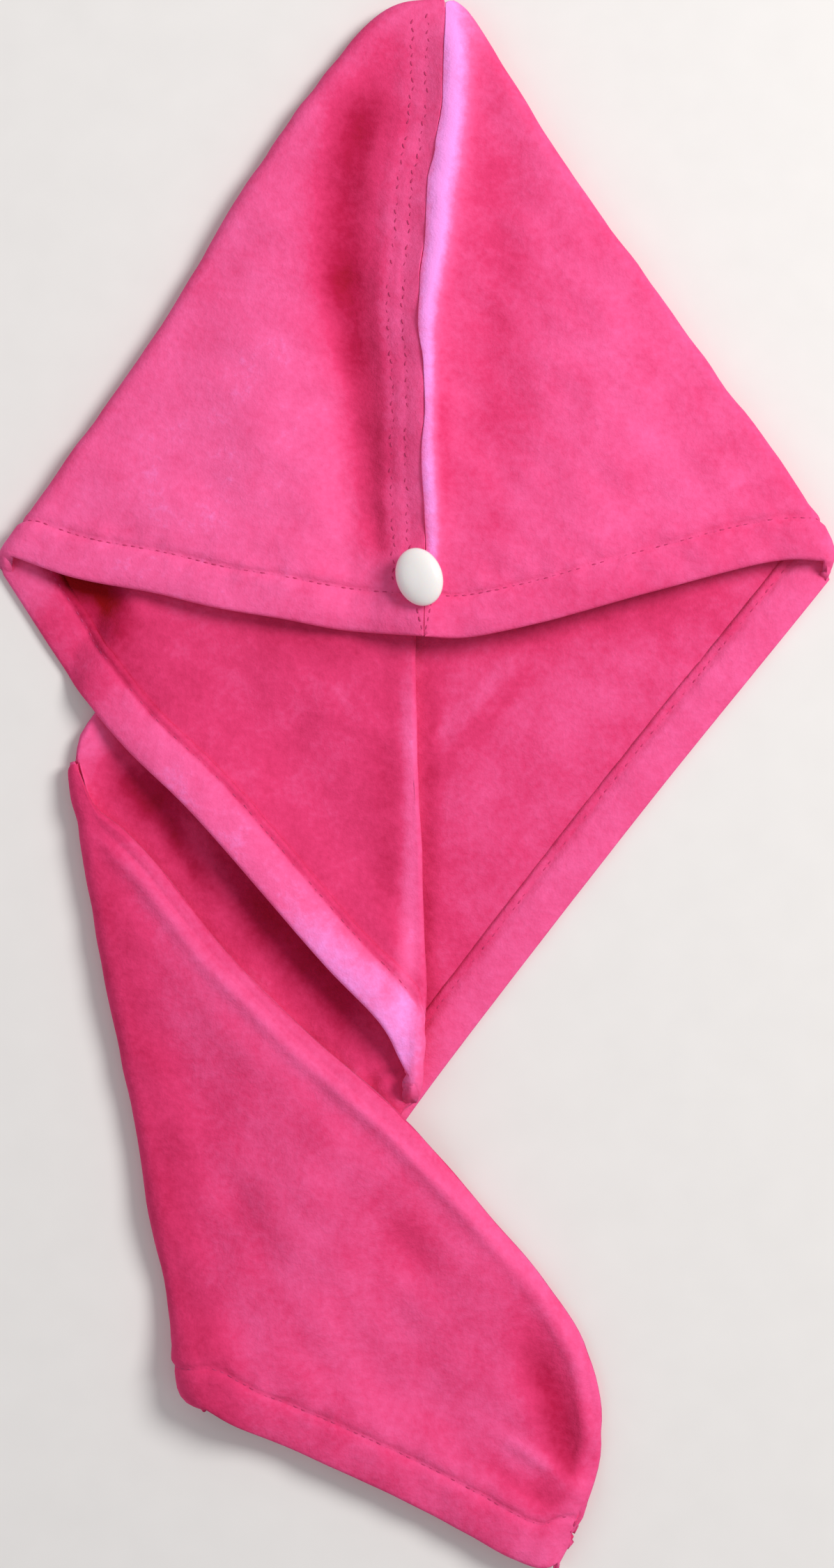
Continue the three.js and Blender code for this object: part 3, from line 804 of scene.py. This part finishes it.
@lru_cache(maxsize=1)
def left_panel():
    """Hood front, lining behind it, back over the right panel, underside of the tail."""
    bent = folds()
    top, lining_edge = bent.left.edge(1.0), bent.left.edge(0.0)
    lining_fold, back_fold, turn = bent.middle.edge(1.0), bent.middle.edge(0.0), bent.tail_outer.edge(0.0)
    front = flat_layer(
        edge_point(hood_seam(-1)(HEM_END)), top, hood_hem(NAPE_HEM_LEFT, -1, top(HEM_END)),
        hood_seam(-1), hood_height, 1, hood_left_relief, hood_left_painted_shading, open_roll(0.2), count=72,
        first=FIRST_RIB,
    )
    lining = flat_layer(
        lining_edge, lining_fold, plan_curve([lining_edge(HEM_END), *POCKET_HEM, lining_fold(HEM_END)]),
        plan_curve([lining_edge(SEAM_END), lining_fold(SEAM_END)]), lining_height, -1, lining_relief,
        lining_painted_shading, stacked_roll(BACK_HALF), count=92,
    )
    back = flat_layer(
        back_fold, turn, plan_curve([back_fold(HEM_END), *BACK_HEM, TAIL_CORNER]),
        plan_curve([back_fold(SEAM_END), *SEAM_SWELL, SEAM_TURN]), back_height, 1, back_relief, back_painted_shading,
        stacked_roll(BACK_HALF), count=60,
    )
    tail = flat_layer(
        turn, edge_point(TIP), plan_curve(TAIL_HEM_CHAIN), plan_curve(TAIL_SEAM_CHAIN),
        inner_tail_height, -1, tail_inner_relief, back_painted_shading, stacked_roll(TAIL_HALF), count=84,
        last=LAST_RIB_UNDER,
    )
    return joined(
        front, bend(bent.left, front, lining, False), lining, bend(bent.middle, lining, back, False),
        back, bend(bent.tail_inner, back, tail, True), tail, tip_roll=TIP_ROLL_UNDER,
    )


def rolled_tip(points, normals, nap, radius):
    """Ribs that roll the end of the tail in to the middle of its two layers."""
    centre = points[-1].mean(axis=0)
    ahead = np.array([TIP[0] - centre[0], TIP[1] - centre[1], 0])
    ahead = ahead / np.linalg.norm(ahead)
    angle = np.radians(TIP_ANGLES)[:, None, None]
    down = normals[-1] * radius * (1 - np.cos(angle))
    ribs = points[-1] + ahead * radius * np.sin(angle) - down
    # The rolled ribs repeat the last rib's normals and painted light and shade
    return ribs, *(np.repeat(last[-1:], len(TIP_ANGLES), axis=0) for last in (normals, nap))


def joined(*parts, tip_roll):
    """Points, normals, painted light and shade (nap) and each part's first rib of a whole panel, none of it
    below the table.
    """
    sheets = [sheet_of(part) for part in parts]
    starts = np.cumsum([0] + [len(sheet[0]) for sheet in sheets])
    sheets.append(rolled_tip(*sheets[-1], tip_roll))
    points, normals, nap = (np.concatenate(column, axis=0) for column in zip(*sheets))
    points[..., 2] = np.maximum(points[..., 2], 0)
    return SimpleNamespace(points=points, normals=normals, nap=nap, starts=starts)


def srgb(hex_colour):
    """Linear colour of an sRGB hex value."""
    channels = [int(hex_colour[i : i + 2], 16) / 255 for i in (0, 2, 4)]
    return [c / 12.92 if c <= 0.04045 else ((c + 0.055) / 1.055) ** 2.4 for c in channels]


def millimetres(name, description, default, low, high):
    """Property of a length, by its default and its range in millimetres."""
    return FloatProperty(
        name=name, description=description, default=default * MM, min=low * MM, max=high * MM, unit="LENGTH"
    )


def shade(name, description, hex_colour):
    """Property of a colour, by its sRGB hex value."""
    return FloatVectorProperty(
        name=name, description=description, subtype="COLOR", size=3, default=srgb(hex_colour), min=0, max=1
    )


class CapSizes(bpy.types.PropertyGroup):
    """Sizes of the cap's cloth, stitches and button."""

    cloth_wall: millimetres("Cloth", "Thickness of one layer of fleece", 1.5, 0.8, 2)
    hem_puff: millimetres(
        "Hem puff", "How far the turned hem swells between its rim and its stitches", 0.7, 0, 1.5
    )
    stitch_length: millimetres("Stitch", "Length of one stitch", 2.4, 1.5, 5)
    thread: millimetres("Thread", "Thickness of the sewing thread", 0.42, 0.2, 1)
    button_long: millimetres("Button length", "Longer diameter of the button", 22, 15, 30)
    button_short: millimetres("Button width", "Shorter diameter of the button", 17.5, 12, 30)


class CapColours(bpy.types.PropertyGroup):
    """Colours of the cap."""

    # Painted shade deep in folds, creases and cast shadows
    painted_fold_shade: shade("Pressed nap", "Colour deep in a fold, between the roots of the nap", "980c16")
    shaded: shade("Shaded nap", "Colour where the nap lies away from the light", "bb1d4c")
    fleece: shade("Fleece", "Colour of the fleece laid flat", "e53e76")
    # Painted light on cloth that faces the light
    painted_lit_side: shade("Raised nap", "Colour where the nap stands towards the light", "fb66a4")
    # Painted highlight on the crests of ridges and rolls
    painted_crest_highlight: shade("Bloom", "Colour of the hair tips on a crest", "ff9cee")
    sheen: shade("Nap sheen", "Colour of the light that the nap's hairs catch", "ffa0e6")
    thread: shade("Thread", "Colour of the sewing thread", "d23f77")
    button: shade("Button", "Colour of the button", "f6f4f2")
    elastic: shade("Elastic", "Colour of the elastic loop", "d9477f")


def add_node(tree, kind, settings=(), **sockets):
    """Adds a node with its settings. A socket is named, or numbered as in i0, and takes a value or
    another node's output."""
    node = tree.nodes.new(kind)
    for key, value in dict(settings).items():
        setattr(node, key, value)
    for key, value in sockets.items():
        numbered = key[0] == "i" and key[1:].isdigit()
        socket = node.inputs[int(key[1:]) if numbered else key.replace("_", " ")]
        if isinstance(value, bpy.types.NodeSocket):
            tree.links.new(value, socket)
        else:
            socket.default_value = value
    return node


def new_material(name):
    """Material with a bare node tree, and its place on the object."""
    material = bpy.data.materials.new(name)
    material.use_nodes = True
    tree = material.node_tree
    tree.nodes.clear()
    return material, tree, add_node(tree, "ShaderNodeTexCoord").outputs["Object"]


def finish_material(tree, shader, height=None, strength=0.5, distance=MM):
    """Links a shader to the output, with a bump where a height is given."""
    if height is not None:
        bump = add_node(tree, "ShaderNodeBump", Strength=strength, Distance=distance, Height=height)
        tree.links.new(bump.outputs["Normal"], shader.inputs["Normal"])
    output = add_node(tree, "ShaderNodeOutputMaterial")
    tree.links.new(shader.outputs["BSDF"], output.inputs["Surface"])


def colour(value):
    return (*value, 1.0)


@lru_cache(maxsize=1)
def brushed_fleece():
    """Knitted microfibre, brushed on both sides: a matt cloth with painted light and shade, a pale lilac
    pink painted highlight on crests and edges that face the light and a deep crimson painted shade in folds
    and shadows, mottled by tufts of 1 to 3 mm and patches of laid nap of 1 to 3 cm. The attribute "nap"
    holds the painted light and shade."""
    colours = bpy.context.scene.cap_colours
    material, tree, place = new_material("brushed_microfibre_fleece")
    # Painted light and shade, read from the attribute "nap"
    stands = add_node(tree, "ShaderNodeAttribute", {"attribute_name": "nap"}).outputs["Fac"]
    tufts = add_node(
        tree, "ShaderNodeTexNoise", Vector=place, Scale=1 / (2.6 * MM), Detail=3.0, Roughness=0.6
    )
    hairs = add_node(
        tree, "ShaderNodeTexNoise", Vector=place, Scale=1 / (0.8 * MM), Detail=2.0, Roughness=0.7
    )
    patches = add_node(
        tree, "ShaderNodeTexNoise", Vector=place, Scale=1 / (17 * MM), Detail=4.0, Roughness=0.62
    )
    level, shares = stands, (0.3, 0.2)
    for noise, share in zip((patches, tufts), shares):
        level = add_node(
            tree, "ShaderNodeMath", {"operation": "MULTIPLY_ADD"}, i0=noise.outputs["Fac"], i1=share,
            i2=level,
        ).outputs[0]
    level = add_node(
        tree, "ShaderNodeMath", {"operation": "SUBTRACT"}, i0=level, i1=sum(shares) / 2
    ).outputs[0]
    # Ramp from painted shade through the fleece's own colour to a painted highlight; the tufts and patches
    # add the cloth's own mottled tone
    tone = add_node(tree, "ShaderNodeValToRGB", Fac=level)
    painted_shading_colours = (colours.painted_fold_shade, colours.shaded, colours.fleece, colours.painted_lit_side, colours.painted_crest_highlight)
    stops = tone.color_ramp.elements
    stops[0].color, stops[1].color = colour(painted_shading_colours[0]), colour(painted_shading_colours[-1])
    for i in (1, 2, 3):
        stops.new(i / 4).color = colour(painted_shading_colours[i])
    height = add_node(
        tree, "ShaderNodeMath", {"operation": "MULTIPLY_ADD"}, i0=hairs.outputs["Fac"], i1=0.45,
        i2=tufts.outputs["Fac"],
    )
    shader = add_node(
        tree, "ShaderNodeBsdfPrincipled", Base_Color=tone.outputs["Color"], Roughness=0.95, Metallic=0.0,
        Specular_IOR_Level=0.12, Sheen_Weight=0.22, Sheen_Roughness=0.35, Sheen_Tint=colour(colours.sheen),
    )
    finish_material(tree, shader, height.outputs[0], strength=0.42, distance=0.9 * MM)
    return material


def polyester_thread():
    """Spun polyester sewing thread: a shade deeper than the fleece, with a faint silky gloss."""
    material, tree, place = new_material("spun_polyester_thread")
    ply = add_node(tree, "ShaderNodeTexNoise", Vector=place, Scale=1 / (0.6 * MM), Detail=2.0)
    base = bpy.context.scene.cap_colours.thread
    tone = add_node(
        tree, "ShaderNodeMix", {"data_type": "RGBA"}, i0=ply.outputs["Fac"],
        i6=colour([c * 0.75 for c in base]), i7=colour(base),
    )
    shader = add_node(
        tree, "ShaderNodeBsdfPrincipled", Base_Color=tone.outputs[2], Roughness=0.7, Specular_IOR_Level=0.2
    )
    finish_material(tree, shader, ply.outputs["Fac"], strength=0.1, distance=0.05 * MM)
    return material


def moulded_button():
    """Injection-moulded white plastic, tumbled to a gloss: a clean highlight on a faintly uneven dome."""
    material, tree, place = new_material("gloss_moulded_plastic")
    flow = add_node(tree, "ShaderNodeTexNoise", Vector=place, Scale=1 / (7 * MM), Detail=2.0)
    base = bpy.context.scene.cap_colours.button
    tone = add_node(
        tree, "ShaderNodeMix", {"data_type": "RGBA"}, i0=flow.outputs["Fac"],
        i6=colour([c * 0.96 for c in base]), i7=colour(base),
    )
    shader = add_node(
        tree, "ShaderNodeBsdfPrincipled", Base_Color=tone.outputs[2], Roughness=0.22, IOR=1.5,
        Subsurface_Weight=0.1, Subsurface_Scale=0.002, Coat_Weight=0.25, Coat_Roughness=0.08,
    )
    finish_material(tree, shader, flow.outputs["Fac"], strength=0.05, distance=0.3 * MM)
    return material


def braided_elastic():
    """Round braided elastic: slanting yarns about 1 mm apart over a rubber core, matt."""
    material, tree, place = new_material("braided_elastic_cord")
    yarns = add_node(
        tree, "ShaderNodeTexWave", {"bands_direction": "DIAGONAL"}, Vector=place, Scale=0.3 / (1.0 * MM),
        Distortion=1.5, Detail=1.0,
    )
    base = bpy.context.scene.cap_colours.elastic
    tone = add_node(
        tree, "ShaderNodeMix", {"data_type": "RGBA"}, i0=yarns.outputs["Fac"],
        i6=colour([c * 0.7 for c in base]), i7=colour(base),
    )
    shader = add_node(tree, "ShaderNodeBsdfPrincipled", Base_Color=tone.outputs[2], Roughness=0.8)
    finish_material(tree, shader, yarns.outputs["Fac"], strength=0.5, distance=0.3 * MM)
    return material


def add_object(name, bm, material):
    """Makes an object of a finished bmesh, smooth and in one material."""
    mesh = bpy.data.meshes.new(name)
    bm.to_mesh(mesh)
    bm.free()
    mesh.shade_smooth()
    mesh.materials.append(material)
    piece = bpy.data.objects.new(name, mesh)
    bpy.context.collection.objects.link(piece)
    return piece


def face_outwards(piece, normals):
    """Turns the sheet's faces over if one on the hood's front looks against its outer side."""
    columns = normals.shape[1]
    row, column = len(normals) // 8, columns // 2
    face = piece.data.polygons[row * (columns - 1) + column]
    if Vector(normals[row, column]).dot(face.normal) < 0:
        piece.data.flip_normals()


def cloth_sheet(name, panel):
    """Sheet of cloth on a panel's points: its wall on the inner side, its painted light and shade as the
    attribute "nap", a UV map in metres.
    """
    points = panel.points
    rows, columns = points.shape[:2]
    bm = bmesh.new()
    bmesh.ops.create_grid(bm, x_segments=columns - 1, y_segments=rows - 1, size=1)
    bm.verts.ensure_lookup_table()
    # Attribute "nap": painted light and shade, pale where the cloth faces the light and deep in folds and
    # shadows
    stands = bm.verts.layers.float.new("nap")
    for vertex, place, nap in zip(bm.verts, points.reshape(-1, 3) * MM, panel.nap.ravel()):
        vertex.co = place
        vertex[stands] = nap
    across = np.concatenate(
        [np.zeros((rows, 1)), np.cumsum(np.linalg.norm(np.diff(points, axis=1), axis=2), axis=1)], axis=1
    )
    along = np.concatenate([[0], np.cumsum(np.linalg.norm(np.diff(points, axis=0), axis=2).mean(axis=1))])
    uv = bm.loops.layers.uv.new("cloth")
    for face in bm.faces:
        for loop in face.loops:
            row, column = divmod(loop.vert.index, columns)
            loop[uv].uv = (across[row, column] * MM, along[row] * MM)
    piece = add_object(name, bm, brushed_fleece())
    face_outwards(piece, panel.normals)
    wall = piece.modifiers.new("wall", "SOLIDIFY")
    wall.thickness = bpy.context.scene.cap_sizes.cloth_wall
    wall.offset = -1
    wall.use_even_offset = False
    return piece


@lru_cache(maxsize=1)
def stitch_lens():
    """Mesh of one stitch, a lens of unit size."""
    bm = bmesh.new()
    bmesh.ops.create_uvsphere(bm, u_segments=6, v_segments=4, radius=1)
    mesh = bpy.data.meshes.new("stitch")
    bm.to_mesh(mesh)
    bm.free()
    return mesh


def sew(bm, path, normals, sizes, tilt=0.0, wander=0.12):
    """Row of stitches along a path on the cloth. Each is a slim lens, half sunk in the nap."""
    random = np.random.default_rng(len(path))
    lengths = np.concatenate([[0], np.cumsum(np.linalg.norm(np.diff(path, axis=0), axis=1))])
    length, thread = sizes.stitch_length / MM, sizes.thread / MM
    pitch = length * 1.3

    def along(values, distance):
        return np.array([np.interp(distance, lengths, values[:, k]) for k in range(3)])

    for i, distance in enumerate(np.arange(pitch, lengths[-1] - pitch, pitch)):
        place = along(path, distance)
        direction = Vector(along(path, distance + 0.5) - place).normalized()
        outer = Vector(along(normals, distance)).normalized()
        sideways = outer.cross(direction).normalized()
        aside = sideways * random.uniform(-wander, wander)
        direction = (direction + sideways * (tilt * (-1) ** i + random.uniform(-0.1, 0.1))).normalized()
        sideways = outer.cross(direction).normalized()
        turn = Matrix((direction, sideways, outer)).transposed().to_4x4()
        size = Matrix.Diagonal((length / 2, thread, thread, 1))
        sunk = outer * thread * random.uniform(0.1, 0.9)
        where = Matrix.Translation(Vector(place) + aside - sunk)
        stitch = stitch_lens().copy()
        stitch.transform(Matrix.Scale(MM, 4) @ where @ turn @ size)
        bm.from_mesh(stitch)
        bpy.data.meshes.remove(stitch)


def line_beside_seam(panel, distance):
    """Points of the left hood front at one distance from its seam, above the turned hem."""
    first = len(TURNED_STATIONS) + RIM_STEPS + 1 + len(HEM_STATIONS)
    last = panel.points.shape[1] - ROLL_STEPS - 1 - TUCK_STEPS
    line, outer = [], []
    for row in range(panel.starts[1]):
        rib = panel.points[row, first:last][::-1]
        beside = seam_x(rib[:, 1]) - rib[:, 0]
        step = int(np.argmax(beside > distance))
        if step > 0:
            share = (distance - beside[step - 1]) / (beside[step] - beside[step - 1])
            line.append(mix(rib[step - 1], rib[step], share))
            outer.append(panel.normals[row, first:last][::-1][step])
    return np.array(line), np.array(outer)


class HAIRCAP_OT_right_panel(bpy.types.Operator):
    """Makes the right half of the cap, one sheet of fleece that follows its folds"""

    bl_idname = "haircap.right_panel"
    bl_label = "Right panel"

    def execute(self, context):
        right_panel.cache_clear()
        brushed_fleece.cache_clear()
        piece = cloth_sheet("right_panel_cloth", right_panel())
        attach(piece, "root")
        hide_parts("right_front", "right_back", "right_tail")
        return {"FINISHED"}


class HAIRCAP_OT_left_panel(bpy.types.Operator):
    """Makes the left half of the cap, folded in along the hood's middle"""

    bl_idname = "haircap.left_panel"
    bl_label = "Left panel"

    def execute(self, context):
        left_panel.cache_clear()
        piece = cloth_sheet("left_panel_cloth", left_panel())
        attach(piece, "root")
        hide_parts("left_front", "left_lining", "left_back", "left_tail")
        return {"FINISHED"}


class HAIRCAP_OT_stitches(bpy.types.Operator):
    """Sews the hems on both sides, and the two rows of the band beside the hood's seam"""

    bl_idname = "haircap.stitches"
    bl_label = "Stitches"

    def execute(self, context):
        sizes = context.scene.cap_sizes
        turned = TURNED_STATIONS.index(STITCH_LINE)
        outer = len(TURNED_STATIONS) + RIM_STEPS + 1 + HEM_STATIONS.index(STITCH_LINE)
        material = polyester_thread()
        for side, panel in (("right", right_panel()), ("left", left_panel())):
            bm = bmesh.new()
            points, normals, starts = panel.points, panel.normals, panel.starts
            # The left panel's hem goes out of sight at its third fold
            seen = starts[-1] if side == "right" else starts[3]
            sew(bm, points[:seen, outer], normals[:seen, outer], sizes)
            sew(bm, points[:seen, turned], -normals[:seen, turned], sizes)
            if side == "left":
                for distance in BAND_ROWS:
                    sew(bm, *line_beside_seam(panel, distance), sizes, tilt=0.4, wander=0.7)
            piece = add_object(f"{side}_stitches", bm, material)
            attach(piece, "root")
        return {"FINISHED"}


class HAIRCAP_OT_button(bpy.types.Operator):
    """Turns the domed oval button with its shank"""

    bl_idname = "haircap.button"
    bl_label = "Button"

    def execute(self, context):
        sizes = context.scene.cap_sizes
        radius = sizes.button_long / 2 / MM
        # Radius and height of the shank, the back and the rim, in millimetres, and then of the dome
        profile = [(0, 0), (3, 0), (3, 2.9), (radius - 1.6, 3.0), (radius - 0.5, 3.3), (radius, 4.1)]
        for angle in np.linspace(10, 90, 12):
            dome = 4.3 + 4.1 * math.sin(math.radians(angle))
            profile.append((radius * math.cos(math.radians(angle)) if angle < 90 else 0, dome))
        bm = bmesh.new()
        verts = [bm.verts.new((x, 0, z)) for x, z in profile]
        edges = [bm.edges.new(pair) for pair in zip(verts, verts[1:])]
        bmesh.ops.spin(
            bm, geom=verts + edges, cent=(0, 0, 0), axis=(0, 0, 1), angle=2 * math.pi, steps=64,
            use_merge=True,
        )
        bmesh.ops.remove_doubles(bm, verts=bm.verts, dist=0.001)
        bmesh.ops.recalc_face_normals(bm, faces=bm.faces)
        x, y = BUTTON_PLACE
        ground = float(hood_height(np.array(x), np.array(y))) + BUTTON_LIFT
        matrix = (
            Matrix.Scale(MM, 4) @ Matrix.Translation((x, y, ground))
            @ Matrix.Rotation(math.radians(BUTTON_TURN), 4, "Z")
            @ Matrix.Rotation(math.radians(-BUTTON_LEAN), 4, "Y")
            @ Matrix.Diagonal((sizes.button_short / sizes.button_long, 1, 1, 1))
        )
        bmesh.ops.transform(bm, matrix=matrix, verts=bm.verts)
        piece = add_object("nape_button", bm, moulded_button())
        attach(piece, "root")
        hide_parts("button")
        return {"FINISHED"}


class HAIRCAP_OT_elastic(bpy.types.Operator):
    """Gives the elastic loop in the tail's tip its braided finish"""

    bl_idname = "haircap.elastic"
    bl_label = "Elastic loop"

    def execute(self, context):
        loop = bpy.data.objects.get("elastic_loop")
        if loop is None:
            raise RuntimeError("the packed frame has no elastic loop")
        material = braided_elastic()
        for slot in loop.material_slots:
            slot.material = material
        return {"FINISHED"}


class HAIRCAP_OT_stage(bpy.types.Operator):
    """Sets up the camera straight above, the pale floor and the soft studio light"""

    bl_idname = "haircap.stage"
    bl_label = "Stage"

    def execute(self, context):
        scene = context.scene
        height_seen = PHOTO_SIZE[1] * PIXEL * MM
        camera = bpy.data.objects.new("camera", bpy.data.cameras.new("camera"))
        camera.data.lens = LENS
        camera.data.sensor_width = SENSOR
        camera.location = (0, 0, TRUE_HEIGHT + height_seen / 2 * LENS / (SENSOR / 2))
        camera.data.clip_start = 0.05
        context.collection.objects.link(camera)
        scene.camera = camera

        bm = bmesh.new()
        bmesh.ops.create_grid(bm, x_segments=1, y_segments=1, size=FLOOR_SIZE)
        bmesh.ops.translate(bm, vec=(0, 0, -FLOOR_DROP), verts=bm.verts)
        material, tree, place = new_material("matt_painted_board")
        grain = add_node(tree, "ShaderNodeTexNoise", Vector=place, Scale=60.0, Detail=2.0)
        tone = add_node(
            tree, "ShaderNodeMix", {"data_type": "RGBA"}, i0=grain.outputs["Fac"],
            i6=colour(srgb("e9e8e6")), i7=colour(srgb("eeedeb")),
        )
        shader = add_node(tree, "ShaderNodeBsdfPrincipled", Base_Color=tone.outputs[2], Roughness=0.85)
        finish_material(tree, shader)
        add_object("floor", bm, material)

        for name, place_at, size, power, tint in LIGHTS:
            light = bpy.data.lights.new(name, "AREA")
            light.shape = "DISK"
            light.size = size
            light.energy = power
            light.color = srgb(tint)
            lamp = bpy.data.objects.new(name, light)
            lamp.location = place_at
            lamp.rotation_euler = (-Vector(place_at)).to_track_quat("-Z", "Y").to_euler()
            context.collection.objects.link(lamp)
        world = bpy.data.worlds.new("studio")
        world.use_nodes = True
        sky = world.node_tree.nodes["Background"]
        sky.inputs["Color"].default_value = (1, 1, 1, 1)
        sky.inputs["Strength"].default_value = SKY_STRENGTH
        scene.world = world
        scene.view_settings.view_transform = "Standard"
        return {"FINISHED"}


class HAIRCAP_PT_main(bpy.types.Panel):
    """Sizes, colours and the pieces of the cap"""

    bl_label = "Hair drying cap"
    bl_idname = "HAIRCAP_PT_main"
    bl_space_type = "VIEW_3D"
    bl_region_type = "UI"
    bl_category = "Hair cap"

    def draw(self, context):
        for group in (context.scene.cap_sizes, context.scene.cap_colours):
            box = self.layout.box()
            for name in group.__annotations__:
                box.prop(group, name)
        for operator in OPERATORS:
            self.layout.operator(operator.bl_idname)


OPERATORS = (
    HAIRCAP_OT_stage,
    HAIRCAP_OT_right_panel,
    HAIRCAP_OT_left_panel,
    HAIRCAP_OT_stitches,
    HAIRCAP_OT_button,
    HAIRCAP_OT_elastic,
)
CLASSES = (CapSizes, CapColours, *OPERATORS, HAIRCAP_PT_main)


def register():
    for cls in CLASSES:
        bpy.utils.register_class(cls)
    bpy.types.Scene.cap_sizes = PointerProperty(type=CapSizes)
    bpy.types.Scene.cap_colours = PointerProperty(type=CapColours)


def unregister():
    del bpy.types.Scene.cap_sizes
    del bpy.types.Scene.cap_colours
    for cls in reversed(CLASSES):
        bpy.utils.unregister_class(cls)


def main():
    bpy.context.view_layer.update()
    register()
    bpy.ops.haircap.stage()
    bpy.ops.haircap.right_panel()
    bpy.ops.haircap.left_panel()
    bpy.ops.haircap.stitches()
    bpy.ops.haircap.button()
    bpy.ops.haircap.elastic()


if __name__ == "__main__":
    main()
